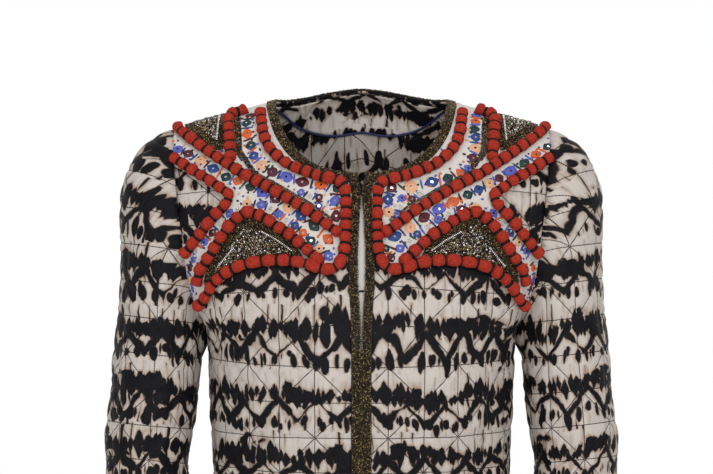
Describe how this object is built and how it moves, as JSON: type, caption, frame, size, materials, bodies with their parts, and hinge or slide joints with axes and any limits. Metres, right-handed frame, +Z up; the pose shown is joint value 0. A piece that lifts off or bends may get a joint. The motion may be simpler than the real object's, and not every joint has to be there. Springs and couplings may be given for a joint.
{
  "type": "quilted mirror-work jacket",
  "caption": "Hip-length quilted jacket, open down the front, with long set-in sleeves and a yoke of couched wrapped cord, mirror work and bead panels; keeps its worn shape.",
  "frame": {"origin": "between the wearer's shoulders, at the level of the side neck, on the middle plane", "axes": "+Z up, the front faces -Y, +X is the wearer's left"},
  "size_m": [0.5332, 0.2405, 0.6061],
  "materials": {
    "body_cloth": "quilted silk and cotton, tie-dyed ivory and ink",
    "sleeve_cloth": "quilted silk and cotton, tie-dyed ivory and ink",
    "yoke_cotton": "plain woven cotton under silk embroidery and small mirrors",
    "red_cord": "cloth-wrapped cord bound with dark thread",
    "bronze_beads": "opaque bronze-lustre seed beads",
    "silver_beads": "opaque dark and silver-lustre seed beads",
    "navy_binding": "corded cotton binding"
  },
  "bodies": {
    "root": {"back": "body_cloth", "back_neck_trim": "bronze_beads", "bead_panel_lower_left": "silver_beads", "bead_panel_lower_right": "silver_beads", "bead_panel_upper_left": "silver_beads", "bead_panel_upper_right": "silver_beads", "diagonal_cord_left": "red_cord", "diagonal_cord_right": "red_cord", "edge_trim_left": "bronze_beads", "edge_trim_right": "bronze_beads", "facing_piping": "navy_binding", "front_left": "body_cloth", "front_right": "body_cloth", "leaf_cord_left": "red_cord", "leaf_cord_right": "red_cord", "neck_cord_left": "red_cord", "neck_cord_right": "red_cord", "neck_facing": "body_cloth", "outer_cord_left": "red_cord", "outer_cord_right": "red_cord", "shoulder_cord_left": "red_cord", "shoulder_cord_right": "red_cord", "sleeve_left": "sleeve_cloth", "sleeve_right": "sleeve_cloth", "yoke_left": "yoke_cotton", "yoke_right": "yoke_cotton"}
  },
  "joints": []
}
